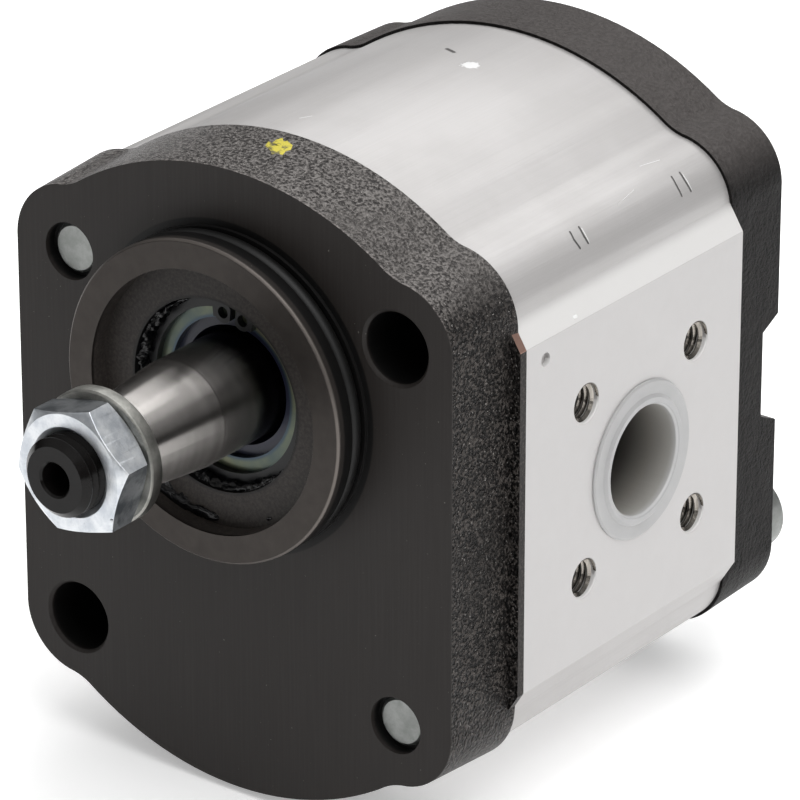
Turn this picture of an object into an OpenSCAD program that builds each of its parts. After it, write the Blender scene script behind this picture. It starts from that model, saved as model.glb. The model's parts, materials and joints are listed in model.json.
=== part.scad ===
// External gear pump with a flange-mounted front cover and a 1:5 tapered drive shaft.
// The origin is on the drive shaft's axis, in the plane of the mounting face.
// +Y runs from the mounting face to the rear cover, +Z is up, and the suction port faces +X.

/* [Corner bolts] */
// Side of the square on which the four corner holes stand
bolt_square = 60; // [58:0.5:64]
// Diameter of the two mounting through-holes
mount_hole_d = 11; // [9:0.5:12]
// Width of the chamfer at the mouth of a mounting hole
mount_chamfer = 0.45; // [0.2:0.05:0.8]
// Thread diameter of the two assembly bolts
bolt_d = 8; // [6:0.5:8.5]
// Diameter of an assembly bolt's head
bolt_head_d = 13; // [12:0.5:14]
// Height of an assembly bolt's head
bolt_head_h = 8; // [6:0.5:9]
// Width across the flats of the socket in a bolt head
bolt_socket_af = 6; // [4:0.5:7]
// Depth below the mounting face at which the bolts' tips end
bolt_tip_depth = 1.5; // [0.8:0.1:4]
// Radial room between an assembly bolt and its holes behind the front cover
bolt_clearance = 0.5; // [0.2:0.1:0.8]
// Diameter of the washer under a bolt head
bolt_washer_d = 14.6; // [14:0.2:16]
// Thickness of the washer under a bolt head
bolt_washer_t = 0.9; // [0.5:0.1:2]

/* [Pilot] */
// Diameter of the centring pilot
pilot_d = 50; // [48:0.5:54]
// Height of the pilot above the mounting face
pilot_h = 6.9; // [6.2:0.1:9]
// Chamfer on the pilot's front edge
pilot_chamfer = 0.35; // [0.1:0.05:0.8]
// Diameter of the recess in the pilot's front
recess_d = 41; // [36:0.5:42]
// Depth of the recess in the pilot's front
recess_depth = 3.3; // [1.5:0.1:3.6]
// Diameter of the pilot's O-ring section
o_ring_section = 2.6; // [2:0.1:3]
// Distance from the mounting face to the middle of the O-ring
o_ring_offset = 2; // [1.9:0.1:2.6]

/* [Castings] */
// Radius of the large round of the housing's outline
outline_r = 49.8; // [48:0.1:53]
// Radius of the lobe around each corner hole
lobe_r = 10; // [9.5:0.1:11]
// Radius of the hollow blend between a lobe and the large round
blend_r = 9; // [5:0.5:12]
// How far the cast outline sits above the middle of the corner holes
outline_rise = 0.4; // [0:0.1:0.8]
// How far the front cover's outline grows on each side from its outer face to the body
draft_growth = 0.9; // [0.4:0.1:1.6]
// How far the rear cover's outline stands out around the body; half of it is left at its outer face
rear_growth = 0.5; // [0.2:0.1:1.2]
// Thickness of the front cover behind the mounting face
front_cover_l = 14.7; // [13:0.1:20]
// Thickness of the rear cover
rear_cover_l = 14.3; // [12:0.1:20]
// Chamfer around the rear cover's outer face
rear_chamfer = 0.6; // [0.4:0.1:2.5]
// Length of the milled strip on the front cover that is flush with the port faces
milled_strip_l = 1.5; // [0.8:0.1:4]
// Depth of the relief on each side of the rear cover's back
relief_depth = 4.8; // [2:0.1:6]
// Height of the relief at its floor
relief_h = 14; // [8:0.5:20]
// How far the relief reaches in from the side
relief_reach = 12; // [6:0.5:16]

/* [Pump body] */
// Width of the pump body from port face to port face
body_w = 84.8; // [84:0.2:90]
// Length of the pump body between the covers
body_l = 55.5; // [52:0.5:65]
// Height of the flat port faces
port_face_h = 54.8; // [46:0.2:56]
// How far the slope beside a port face runs along its height
port_slope_h = 3.9; // [2:0.1:5]
// Distance from the body's front face to the middle of the gears and ports
gear_from_front = 29.3; // [27:0.1:32]
// Depth of the drilled index mark beside the suction port
index_depth = 0.8; // [0.3:0.1:2]
// Diameter of the drilled index mark
index_d = 2.1; // [1:0.1:3]

/* [Gears] */
// Distance between the two gear axes
centre_distance = 32; // [31:0.1:33]
// Number of teeth on each gear
teeth = 12; // [11:1:13]
// Pressure angle of the teeth
pressure_angle = 25; // [24:0.5:27]
// Height of a tooth above the pitch circle, in modules
addendum = 1; // [0.9:0.01:1]
// Depth of a tooth space below the pitch circle, in modules
dedendum = 1.2; // [1.15:0.01:1.3]
// Play between meshed teeth along the pitch circle
backlash = 0.2; // [0.1:0.02:0.3]
// Width of the gears
gear_w = 21; // [16:0.5:23]
// Radial gap between the tooth tips and the body
tip_gap = 0.08; // [0.04:0.01:0.1]
// Gap between a gear's side and its bearing block
side_gap = 0.05; // [0.03:0.01:0.1]

/* [Shafts and bearings] */
// Diameter of the shafts at the bearings and the shaft seal
shaft_d = 17; // [15:0.5:18]
// Radial gap between a shaft and its bush
running_gap = 0.03; // [0.02:0.01:0.06]
// Wall thickness of a bush
bush_wall = 1.5; // [1:0.1:2]
// Distance of a bush's ends from the ends of its bearing block
bush_inset = 0.4; // [0.2:0.1:1]
// Radial gap between the parts that are pressed or laid into each other
seat_gap = 0.02; // [0.01:0.01:0.04]
// Distance from the rear cover to the rear ends of the shafts
shaft_end_room = 0.6; // [0.3:0.1:2]
// Diameter of a locating dowel
dowel_d = 5; // [4:0.5:6]
// Length of a locating dowel
dowel_l = 10; // [8:0.5:12]
// Distance between the two dowels of a pair
dowel_span = 66; // [64:0.5:68]

/* [Drive shaft end] */
// Distance from the mounting face to the large end of the taper
taper_start = 11.9; // [9:0.1:16]
// Length of the taper
taper_l = 16.3; // [15.5:0.1:18]
// Length over which the taper's diameter falls by one millimetre
taper_ratio = 5; // [5:0.5:10]
// Thread diameter of the shaft end
thread_d = 12; // [10:0.5:12.5]
// Pitch of the shaft end's thread
thread_pitch = 1.5; // [1:0.25:1.75]
// Length of the thread
thread_l = 11.7; // [10.5:0.1:16]
// Chamfer on the shaft's front end
shaft_chamfer = 1; // [0.4:0.1:1.2]
// Diameter of the hole in the shaft's front end
centre_hole_d = 5; // [3:0.1:6]
// Depth of the hole in the shaft's front end
centre_hole_depth = 12; // [4:0.5:20]
// Chamfer at the mouth of that hole
centre_chamfer = 0.3; // [0.1:0.05:0.6]
// Thickness of the Woodruff key
key_w = 3; // [2:0.5:4]
// Diameter of the disc that the key is cut from
key_disc_d = 13; // [11:0.5:14]
// Height of the key
key_h = 5; // [4.5:0.1:5.4]
// How far the key stands out of the taper at its middle
key_proud = 1.2; // [0.8:0.1:1.4]
// Direction that the key points in, turned from +X towards +Z
key_angle = 215; // [0:5:355]

/* [Nut and washer] */
// Width of the shaft nut across its flats
nut_af = 18; // [16:0.5:19]
// Height of the shaft nut
nut_h = 6; // [5:0.5:7]
// Angle of the nut's first corner, turned from +X towards +Z
nut_angle = 12; // [0:1:59]
// Diameter of the spring washer
spring_washer_d = 20.6; // [18:0.1:22]
// Thickness of the spring washer
spring_washer_t = 2.5; // [1.5:0.1:3]
// Width of the split in the spring washer
washer_split = 1.2; // [0.6:0.1:2]

/* [Shaft seal] */
// Diameter of the bore that holds the shaft seal
seal_bore_d = 30; // [28:0.5:32]
// Length of the shaft seal
seal_l = 7; // [6:0.5:8]
// Distance from the mounting face back to the front of the support ring
seal_stack_y = 0.1; // [-0.4:0.1:1]
// Thickness of the retaining ring
retaining_t = 1.2; // [1:0.1:1.5]
// Radial width of the retaining ring inside the bore
retaining_w = 2.1; // [1.6:0.1:2.4]
// Depth of the retaining ring's groove
retaining_groove = 0.7; // [0.4:0.1:1]
// Angle of the middle of the retaining ring's opening, from +X towards +Z
retaining_angle = 83; // [0:1:359]
// Thickness of the support ring
support_t = 1.2; // [0.8:0.1:1.5]
// Inner diameter of the support ring
support_bore_d = 21.8; // [20:0.1:23]
// Radial room between the shaft and what it passes through unguided
shaft_room = 0.8; // [0.5:0.1:1]

/* [Ports] */
// Diameter of the suction port
suction_bore_d = 20; // [15:0.5:20]
// Bolt circle of the four threaded holes around the suction port
suction_circle_d = 40; // [38:0.5:40]
// Diameter of the pressure port
pressure_bore_d = 15; // [12:0.5:15.5]
// Bolt circle of the four threaded holes around the pressure port
pressure_circle_d = 35; // [34:0.5:40]
// Thread diameter of the holes around the ports
port_thread_d = 6; // [5:0.5:6]
// Depth of the holes around the ports
port_thread_l = 13; // [9:0.5:13]
// Width of the countersink at the mouth of those holes
port_countersink = 0.2; // [0.1:0.05:0.5]

/* [Port plugs] */
// Wall thickness of a plug
plug_wall = 1.1; // [0.8:0.1:1.6]
// How far a plug reaches into its port
plug_depth = 12; // [6:0.5:16]
// Radial gap between a plug and its port
plug_gap = 0.3; // [0.2:0.05:0.5]
// How far the suction plug's flange reaches past the edge of its port; the pressure plug's is in proportion
plug_flange_w = 2.4; // [1:0.1:3]
// Thickness of a plug's flange
plug_flange_t = 0.5; // [0.3:0.1:1]
// Height of the rolled rim above the port face
plug_rim_h = 0.9; // [0.9:0.1:1.6]

/* [Inner seals] */
// Width of the seals between the body and the covers
body_seal_w = 1.8; // [1.2:0.1:2.2]
// Depth of the grooves of those seals
body_seal_t = 1.4; // [1:0.1:2]
// Distance from the gear chamber to those grooves
body_seal_offset = 1.4; // [1:0.1:1.8]
// Width of the pressure-field seal behind a bearing block
field_seal_w = 1.8; // [1.2:0.1:2.2]
// Depth of the groove of the pressure-field seal
field_seal_t = 2; // [1.2:0.1:2.6]
// Width of the backup ring inside the pressure-field seal
backup_w = 0.7; // [0.5:0.1:0.9]
// Distance from a bush to the groove of the backup ring
backup_offset = 1.2; // [0.8:0.1:1.6]
// How far the pressure-field seal dips in between the two shafts
field_dip = 5.5; // [4:0.5:7]
// Distance from the gear axes to the open ends of the pressure-field seal
field_end = 8; // [4:0.5:10]
// Width of the relief pockets beside the tooth mesh
pocket_w = 5; // [3:0.5:6]
// Height of those pockets
pocket_h = 7; // [4:0.5:9]
// Depth of those pockets
pocket_depth = 1.5; // [0.8:0.1:3]

/* [Hidden] */
$fn = 96;

// Small overlap that lets a cut run past the face it opens
cut = 0.5;
// Small overlap where two arcs of the castings' outline would only touch
arc_overlap = 0.02;
// Width of what the milling of the port faces clears away
milling_room = 20;

// Axes of the gears and of the housing's outline
driven_z = -centre_distance;
centre_z = -centre_distance / 2;
gear_axes = [0, driven_z];
corners = [for (sx = [-1, 1], sz = [-1, 1]) [sx * bolt_square / 2, centre_z + sz * bolt_square / 2]];
mount_corners = [corners[0], corners[3]];
bolt_corners = [corners[1], corners[2]];

// Stations along the shaft, in y
body_y0 = front_cover_l;
body_y1 = body_y0 + body_l;
rear_y = body_y1 + rear_cover_l;
port_y = body_y0 + gear_from_front;
gear_y0 = port_y - gear_w / 2;
gear_y1 = port_y + gear_w / 2;
block_y0 = body_y0 + side_gap;
block_y1 = gear_y0 - side_gap;
block_y2 = gear_y1 + side_gap;
block_y3 = body_y1 - side_gap;
taper_y0 = -taper_start - taper_l;
shaft_y0 = taper_y0 - thread_l;
shaft_y1 = body_y1 - shaft_end_room;
seal_y0 = seal_stack_y + support_t;
seal_y1 = seal_y0 + seal_l;
recess_y = -pilot_h + recess_depth;

// Radii
shaft_r = shaft_d / 2;
taper_end_r = shaft_r - taper_l / taper_ratio / 2;
thread_r = thread_d / 2;
bush_r = shaft_r + running_gap + bush_wall;
seal_bore_r = seal_bore_d / 2;
retaining_bore_r = seal_bore_r - retaining_w;
shaft_hole_r = shaft_r + shaft_room;
bolt_r = bolt_d / 2;
tip_hole_r = bolt_r + bolt_clearance;
pitch_r = centre_distance / 2;
module_size = centre_distance / teeth;
base_r = pitch_r * cos(pressure_angle);
tip_r = pitch_r + addendum * module_size;
root_r = pitch_r - dedendum * module_size;
chamber_r = tip_r + tip_gap;
block_r = chamber_r - 2 * seat_gap;
body_seal_r = chamber_r + body_seal_offset;

// A flat (x, z) shape drawn out from y0 to y1
module along_y(y0, y1) {
    translate([0, y1, 0]) rotate([90, 0, 0]) linear_extrude(height = y1 - y0) children();
}

// A straight or tapered round from y0 to y1 on the axis through (x, z)
module round_y(y0, y1, r0, r1, x = 0, z = 0) {
    translate([x, y1, z]) rotate([90, 0, 0]) cylinder(h = y1 - y0, r1 = r1, r2 = r0);
}

module bar_y(y0, y1, r, x = 0, z = 0) {
    round_y(y0, y1, r, r, x, z);
}

// A turned shape around the shaft axis, from its [radius, y] points
module turned_y(profile) {
    rotate([90, 0, 0]) rotate_extrude() polygon([for (p = profile) [p[0], -p[1]]]);
}

// A turned shape around the suction port's axis direction, from its [radius, x] points
module turned_x(profile) {
    rotate([0, 90, 0]) rotate_extrude() polygon(profile);
}

// Both gear axes side by side
module at_gear_axes() {
    for (z = gear_axes) translate([0, 0, z]) children();
}

// Where a hollow blend's centre stands, seen from the outline's centre
blend_reach = outline_r + blend_r;
lobe_reach = bolt_square / sqrt(2);
blend_gap = lobe_r + blend_r;
blend_turn = acos(min(1, (blend_reach ^ 2 + lobe_reach ^ 2 - blend_gap ^ 2) / (2 * blend_reach * lobe_reach)));
blend_x = blend_reach * cos(45 + blend_turn);
blend_z = blend_reach * sin(45 + blend_turn);

// Half the housing's width across its flat sides, and the height of the outline's middle
side_x = bolt_square / 2 + lobe_r;
outline_z = centre_z + outline_rise;

// A turned piece of a casting's outline on the axis (x, z): radius r, with the growth at each station
// multiplied by way, which is -1 for a hollow blend
module grown_round(stations, r, way = 1, x = 0, z = 0) {
    last = len(stations) - 1;
    translate([x, 0, z]) turned_y(concat(
        [[0, stations[0][0]]], [for (s = stations) [r + way * s[1], s[0]]], [[0, stations[last][0]]]));
}

// The cast outline through its stations, each [y, growth of the outline on every side].
// Neighbouring arcs and flats cross by arc_overlap where they would only touch.
module casting(stations) {
    half = bolt_square / 2;
    flat_x = side_x - arc_overlap;
    wide = 3 * outline_r;
    last = len(stations) - 1;
    y0 = stations[0][0];
    y1 = stations[last][0];
    translate([0, 0, outline_z]) {
        intersection() {
            union() {
                grown_round(stations, outline_r);
                along_y(y0, y1) square([wide, bolt_square], center = true);
            }
            translate([0, 0, -wide / 2]) linear_extrude(height = wide) polygon(concat(
                [for (s = stations) [flat_x + s[1], s[0]]],
                [for (i = [last : -1 : 0]) [-flat_x - stations[i][1], stations[i][0]]]));
        }
        for (sx = [-1, 1], sz = [-1, 1]) {
            grown_round(stations, lobe_r, 1, sx * half, sz * half);
            if (lobe_reach + lobe_r > outline_r) difference() {
                along_y(y0, y1) polygon([[0, 0], [sx * half, sz * half], [sx * blend_x, sz * blend_z]]);
                grown_round(stations, blend_r + arc_overlap, -1, sx * blend_x, sz * blend_z);
            }
        }
    }
}

// The flat port faces with the slopes beside them, between y0 and y1
module port_pads(y0, y1) {
    foot = 2;
    face_x = body_w / 2;
    face_z = port_face_h / 2;
    foot_x = side_x - foot;
    foot_z = face_z + port_slope_h * (face_x - foot_x) / (face_x - side_x);
    translate([0, 0, outline_z]) along_y(y0, y1)
        polygon([[foot_x, foot_z], [face_x, face_z], [face_x, -face_z], [foot_x, -foot_z],
                 [-foot_x, -foot_z], [-face_x, -face_z], [-face_x, face_z], [-foot_x, foot_z]]);
}

// The two cylinders of the gear chamber, or of what slides in it
module twin_bore(y0, y1, r) {
    at_gear_axes() bar_y(y0, y1, r);
}

// A flat ring around both gear axes, with straight sides
module stadium(r) {
    for (z = gear_axes) translate([0, z]) circle(r = r);
    translate([-r, driven_z]) square([2 * r, centre_distance]);
}

module stadium_ring(r, w) {
    difference() {
        stadium(r + w);
        stadium(r);
    }
}

module dowel_holes(y0, y1) {
    for (s = [-1, 1]) bar_y(y0, y1, dowel_d / 2 + seat_gap, s * dowel_span / 2, centre_z);
}

// Front cover: flange, pilot, shaft seal bore and the holes of the four corners
module front_cover() {
    pilot_r = pilot_d / 2;
    groove_half = o_ring_section / 2 + 0.2;
    groove_r = pilot_r - o_ring_section - 2 * seat_gap;
    groove_y = -o_ring_offset;
    ring_y0 = seal_stack_y - retaining_t - 2 * seat_gap;
    color("#3b3836") difference() {
        union() {
            casting([[0, 0], [body_y0, draft_growth]]);
            port_pads(body_y0 - milled_strip_l, body_y0);
            turned_y([[0, cut], [pilot_r, cut], [pilot_r, groove_y + groove_half],
                      [groove_r, groove_y + groove_half], [groove_r, groove_y - groove_half],
                      [pilot_r, groove_y - groove_half], [pilot_r, -pilot_h + pilot_chamfer],
                      [pilot_r - pilot_chamfer, -pilot_h], [0, -pilot_h]]);
        }
        bar_y(-pilot_h - cut, recess_y, recess_d / 2);
        bar_y(recess_y - cut, seal_y1, seal_bore_r);
        bar_y(ring_y0, seal_stack_y, seal_bore_r + retaining_groove);
        bar_y(seal_y1 - cut, body_y0 + cut, shaft_hole_r);
        for (p = mount_corners) {
            bar_y(-cut, body_y0 + cut, mount_hole_d / 2, p[0], p[1]);
            round_y(-cut, mount_chamfer, mount_hole_d / 2 + mount_chamfer + cut, mount_hole_d / 2, p[0], p[1]);
        }
        for (p = bolt_corners) {
            bar_y(-cut, bolt_tip_depth + cut, tip_hole_r, p[0], p[1]);
            bar_y(-cut, body_y0 + cut, bolt_r + seat_gap, p[0], p[1]);
        }
        dowel_holes(body_y0 - dowel_l / 2, body_y0 + cut);
    }
}

// One port: its bore into the gear chamber and its four threaded holes, cut on the +X side
module port_cut(bore_d, circle_d) {
    half = circle_d / sqrt(8);
    face_x = body_w / 2;
    hole_r = port_thread_d / 2;
    translate([0, port_y, centre_z]) {
        turned_x([[0, chamber_r / 3], [bore_d / 2, chamber_r / 3], [bore_d / 2, face_x + cut], [0, face_x + cut]]);
        for (sy = [-1, 1], sz = [-1, 1]) translate([0, sy * half, sz * half])
            turned_x([[0, face_x - port_thread_l - hole_r], [hole_r, face_x - port_thread_l],
                      [hole_r, face_x - port_countersink], [hole_r + port_countersink, face_x],
                      [hole_r + port_countersink, face_x + cut], [0, face_x + cut]]);
    }
}

// Pump body: the extruded middle with the gear chamber, both ports and the seal grooves
module pump_body() {
    index_y = 4.7;
    index_z = 24.8;
    color("#c9c8c6") difference() {
        union() {
            casting([[body_y0, 0], [body_y1, 0]]);
            port_pads(body_y0, body_y1);
        }
        twin_bore(body_y0 - cut, body_y1 + cut, chamber_r);
        port_cut(suction_bore_d, suction_circle_d);
        mirror([1, 0, 0]) port_cut(pressure_bore_d, pressure_circle_d);
        along_y(body_y0 - cut, body_y0 + body_seal_t) stadium_ring(body_seal_r, body_seal_w);
        along_y(body_y1 - body_seal_t, body_y1 + cut) stadium_ring(body_seal_r, body_seal_w);
        for (p = mount_corners) bar_y(body_y0 - cut, body_y1 + cut, mount_hole_d / 2, p[0], p[1]);
        for (p = bolt_corners) bar_y(body_y0 - cut, body_y1 + cut, tip_hole_r, p[0], p[1]);
        dowel_holes(body_y0 - cut, body_y0 + dowel_l / 2);
        dowel_holes(body_y1 - dowel_l / 2, body_y1 + cut);
        for (s = [-1, 1]) translate([s * (body_w / 2 + milling_room), 0, outline_z]) along_y(body_y0 - cut, body_y1 + cut)
            square([2 * milling_room, port_face_h + 2 * milling_room], center = true);
        translate([body_w / 2 - index_depth, body_y0 + index_y, centre_z + index_z])
            rotate([0, 90, 0]) cylinder(h = index_depth + cut, r = index_d / 2);
    }
}

// Rear cover: the drafted casting with a relief on each side of its back
module rear_cover() {
    chamfer_y = rear_y - rear_chamfer;
    chamfer_g = rear_growth / 2;
    slope = relief_depth / 2;
    color("#3f3e3f") difference() {
        casting([[body_y1, rear_growth], [chamfer_y, chamfer_g], [rear_y, chamfer_g - rear_chamfer]]);
        for (sx = [0, 1]) mirror([sx, 0, 0]) translate([side_x - relief_reach, 0, outline_z])
            rotate([90, 0, 90]) linear_extrude(height = relief_reach + 5 * rear_growth)
                polygon([[rear_y - relief_depth, -relief_h / 2], [rear_y - relief_depth, relief_h / 2],
                         [rear_y + cut, relief_h / 2 + slope], [rear_y + cut, -relief_h / 2 - slope]]);
        for (p = mount_corners) bar_y(body_y1 - cut, rear_y + cut, mount_hole_d / 2, p[0], p[1]);
        for (p = bolt_corners) bar_y(body_y1 - cut, rear_y + cut, tip_hole_r, p[0], p[1]);
        dowel_holes(body_y1 - cut, body_y1 + dowel_l / 2);
    }
}

// Involute geometry: angles in degrees, as seen from the gear's axis
function involute(a) = tan(a) * 180 / PI - a;
function half_tooth(r) = 90 / teeth - backlash / 4 / pitch_r * 180 / PI
    + involute(pressure_angle) - involute(acos(min(1, base_r / r)));
function on_circle(r, a) = [r * cos(a), r * sin(a)];

// One tooth and the space after it, as points on the way round the gear
function tooth_points(a, steps = 8) = concat(
    [on_circle(root_r, a - half_tooth(base_r))],
    [for (i = [0 : steps]) let (r = base_r + (tip_r - base_r) * i / steps) on_circle(r, a - half_tooth(r))],
    [for (i = [steps : -1 : 0]) let (r = base_r + (tip_r - base_r) * i / steps) on_circle(r, a + half_tooth(r))],
    [on_circle(root_r, a + half_tooth(base_r))],
    [on_circle(root_r, a + 180 / teeth)]
);

// Toothed gear from gear_y0 to gear_y1, its first tooth pointing in the direction of angle a
module gear(a) {
    along_y(gear_y0, gear_y1)
        polygon([for (t = [0 : teeth - 1]) each tooth_points(a + t * 360 / teeth)]);
}

// The slot's and the key's disc, cut off at its flat top
module key_disc(extra) {
    surface_r = (shaft_r + taper_end_r) / 2;
    top_r = surface_r + key_proud;
    disc_r = key_disc_d / 2;
    centre_r = top_r - key_h + disc_r;
    rotate([0, -key_angle, 0]) translate([0, -taper_start - taper_l / 2, 0]) intersection() {
        translate([centre_r, 0, -key_w / 2 - extra])
            cylinder(h = key_w + 2 * extra, r = disc_r + extra);
        translate([0, -disc_r - 1, -key_w]) cube([top_r, 2 * disc_r + 2, 2 * key_w]);
    }
}

// Driving shaft with its gear, the 1:5 taper and the threaded end
module drive_gear_shaft() {
    root = thread_r - 0.61 * thread_pitch;
    land = thread_pitch / 8;
    first = shaft_y0 + shaft_chamfer;
    turns = floor((taper_y0 - first) / thread_pitch);
    hole_r = centre_hole_d / 2;
    color("#b9b6b2") difference() {
        union() {
            turned_y(concat(
                [[0, shaft_y0], [thread_r - shaft_chamfer, shaft_y0]],
                [for (i = [0 : turns - 1]) let (y = first + i * thread_pitch)
                    each [[thread_r, y], [thread_r, y + land], [root, y + thread_pitch / 2]]],
                [[thread_r - shaft_chamfer / 2, taper_y0], [taper_end_r, taper_y0], [shaft_r, -taper_start],
                 [shaft_r, shaft_y1 - shaft_chamfer], [shaft_r - shaft_chamfer, shaft_y1], [0, shaft_y1]]));
            gear(-90);
        }
        bar_y(shaft_y0 - cut, shaft_y0 + centre_hole_depth, hole_r);
        round_y(shaft_y0 - cut, shaft_y0 + centre_chamfer, hole_r + centre_chamfer + cut, hole_r);
        key_disc(seat_gap);
    }
}

// Driven shaft with its gear, half a tooth out of step so that the teeth mesh
module driven_gear_shaft() {
    y0 = block_y0 + shaft_end_room;
    color("#a9a7a4") translate([0, 0, driven_z]) {
        turned_y([[0, y0], [shaft_r - shaft_chamfer, y0], [shaft_r, y0 + shaft_chamfer],
                  [shaft_r, shaft_y1 - shaft_chamfer], [shaft_r - shaft_chamfer, shaft_y1], [0, shaft_y1]]);
        gear(90 + 180 / teeth);
    }
}

module woodruff_key() {
    color("#8f8d8a") key_disc(0);
}

// Low hexagon nut with chamfered corners on both faces
module shaft_nut() {
    y1 = taper_y0 - spring_washer_t;
    y0 = y1 - nut_h;
    corner_r = nut_af / sqrt(3);
    face_r = nut_af / 2 - 0.2;
    rim_r = corner_r + 1;
    drop = (rim_r - face_r) * tan(30);
    mouth = 0.8;
    bore_r = thread_r + seat_gap;
    color("#c8c8c6") difference() {
        intersection() {
            rotate([0, -nut_angle, 0]) along_y(y0, y1) circle(r = corner_r, $fn = 6);
            turned_y([[0, y0], [face_r, y0], [rim_r, y0 + drop], [rim_r, y1 - drop], [face_r, y1], [0, y1]]);
        }
        bar_y(y0 - cut, y1 + cut, bore_r);
        round_y(y0 - cut, y0 + mouth, bore_r + mouth + cut, bore_r);
    }
}

// Spring washer under the nut, with its split on the far side
module spring_washer() {
    y1 = taper_y0;
    y0 = y1 - spring_washer_t;
    outer = spring_washer_d / 2;
    soft = 0.3;
    color("#a5a39a") difference() {
        turned_y([[thread_r + 0.15, y0], [outer - soft, y0], [outer, y0 + soft], [outer, y1 - soft],
                  [outer - soft, y1], [thread_r + 0.15, y1]]);
        rotate([0, -key_angle, 0]) translate([0, y0 - cut, -washer_split / 2]) rotate([0, 0, -12])
            cube([2 * outer, 2 * spring_washer_t, washer_split]);
    }
}

backup_r = bush_r + backup_offset;
field_seal_r = backup_r + backup_w + 2 * seat_gap;

// Half the width of the pressure-field outline of radius r between the two gear axes
function field_neck(r) = r - field_dip;

module field_outline(r) {
    for (z = gear_axes) translate([0, z]) circle(r = r);
    translate([-field_neck(r), driven_z]) square([field_neck(r), centre_distance]);
}

// The 3-shaped ring of a pressure-field seal, open towards the suction side
module field_shape(r, w, extra = 0) {
    tall = centre_distance + 4 * block_r;
    difference() {
        field_outline(r + w);
        field_outline(r);
        translate([field_end + extra, centre_z - tall / 2]) square([tall, tall]);
        translate([-field_neck(r), driven_z]) square([tall, centre_distance]);
    }
}

// Figure-eight bearing block from y0 to y1, with the seal groove in its outer face
module bearing_block(y0, y1, groove_y0, groove_y1, pocket_y0, pocket_y1) {
    difference() {
        twin_bore(y0, y1, block_r);
        twin_bore(y0 - cut, y1 + cut, bush_r + seat_gap);
        along_y(groove_y0, groove_y1)
            field_shape(backup_r - seat_gap, backup_w + field_seal_w + 4 * seat_gap, seat_gap);
        for (s = [-1, 1]) translate([s * pitch_r / 2, 0, centre_z]) along_y(pocket_y0, pocket_y1)
            square([pocket_w, pocket_h], center = true);
    }
}

module front_bearing_block() {
    color("#b7b9bb") bearing_block(block_y0, block_y1, block_y0 - cut, block_y0 + field_seal_t,
                                   block_y1 - pocket_depth, block_y1 + cut);
}

module rear_bearing_block() {
    color("#b7b9bb") bearing_block(block_y2, block_y3, block_y3 - field_seal_t, block_y3 + cut,
                                   block_y2 - cut, block_y2 + pocket_depth);
}

module bush(y0, y1, z) {
    color("#8c7a4a") translate([0, 0, z]) difference() {
        bar_y(y0 + bush_inset, y1 - bush_inset, bush_r);
        bar_y(y0 - cut, y1 + cut, shaft_r + running_gap);
    }
}

module front_drive_bush() {
    bush(block_y0, block_y1, 0);
}

module front_driven_bush() {
    bush(block_y0, block_y1, driven_z);
}

module rear_drive_bush() {
    bush(block_y2, block_y3, 0);
}

module rear_driven_bush() {
    bush(block_y2, block_y3, driven_z);
}

// Lip seal: a rubber-covered case and a lip that runs on the shaft
module shaft_seal() {
    outer = seal_bore_r - seat_gap;
    inner = shaft_hole_r;
    lip_r = shaft_r + running_gap + seat_gap;
    lip_top = shaft_r + 1.9;
    web = seal_l * 0.3;
    case_r = seal_bore_r - 2.1;
    color("#20242e") turned_y([
        [inner, seal_y0], [outer, seal_y0], [outer, seal_y1], [case_r, seal_y1], [case_r, seal_y0 + web],
        [lip_top, seal_y0 + web], [lip_top, seal_y1 - web / 2], [lip_r + 0.6, seal_y1 - web / 2],
        [lip_r, seal_y1 - web], [inner, seal_y0 + web / 2]]);
}

// Garter spring that presses the seal's lip onto the shaft
module seal_garter_spring() {
    wire_r = 0.75;
    ring_r = shaft_r + 1.9 + wire_r + 0.1;
    color("#9b9b9b") translate([0, seal_y1 - seal_l * 0.35, 0]) rotate([90, 0, 0])
        rotate_extrude() translate([ring_r, 0]) circle(r = wire_r, $fn = 48);
}

module support_ring() {
    color("#a79a5c") difference() {
        bar_y(seal_stack_y, seal_y0 - seat_gap, seal_bore_r - seat_gap);
        bar_y(seal_stack_y - cut, seal_y0 + cut, support_bore_d / 2);
    }
}

// Internal retaining ring with an eyelet at each side of its opening
module retaining_ring() {
    eye_r = 1.6;
    eye_bore = 0.9;
    eye_turn = 8.5;
    open_turn = eye_turn - 4;
    outer = seal_bore_r + retaining_groove - seat_gap;
    far = 2 * outer;
    eye_reach = retaining_bore_r - 0.7;
    color("#1d1c1b") rotate([0, -retaining_angle, 0])
        along_y(seal_stack_y - retaining_t - seat_gap, seal_stack_y - seat_gap)
            difference() {
                union() {
                    difference() {
                        circle(r = outer);
                        circle(r = retaining_bore_r);
                        polygon([[0, 0], far * [cos(eye_turn), sin(eye_turn)], far * [cos(eye_turn), -sin(eye_turn)]]);
                    }
                    for (s = [-1, 1]) rotate(s * eye_turn) translate([eye_reach, 0]) circle(r = eye_r);
                    for (s = [-1, 1]) rotate(s * (eye_turn + 4)) translate([retaining_bore_r - 0.3, 0])
                        square([2.4, 2], center = true);
                }
                for (s = [-1, 1]) rotate(s * eye_turn) translate([eye_reach, 0]) circle(r = eye_bore);
                polygon([[0, 0], far * [cos(open_turn / 2), sin(open_turn / 2)],
                         far * [cos(open_turn / 2), -sin(open_turn / 2)]]);
            }
}

module pilot_o_ring() {
    ring_r = pilot_d / 2 - o_ring_section / 2 - seat_gap;
    color("#141414") translate([0, -o_ring_offset, 0]) rotate([90, 0, 0])
        rotate_extrude() translate([ring_r, 0]) circle(r = o_ring_section / 2, $fn = 48);
}

// Seal that lies in the groove around the gear chamber
module body_seal(y0, y1) {
    color("#1b1b1b") along_y(y0, y1) stadium_ring(body_seal_r + seat_gap, body_seal_w - 2 * seat_gap);
}

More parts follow.
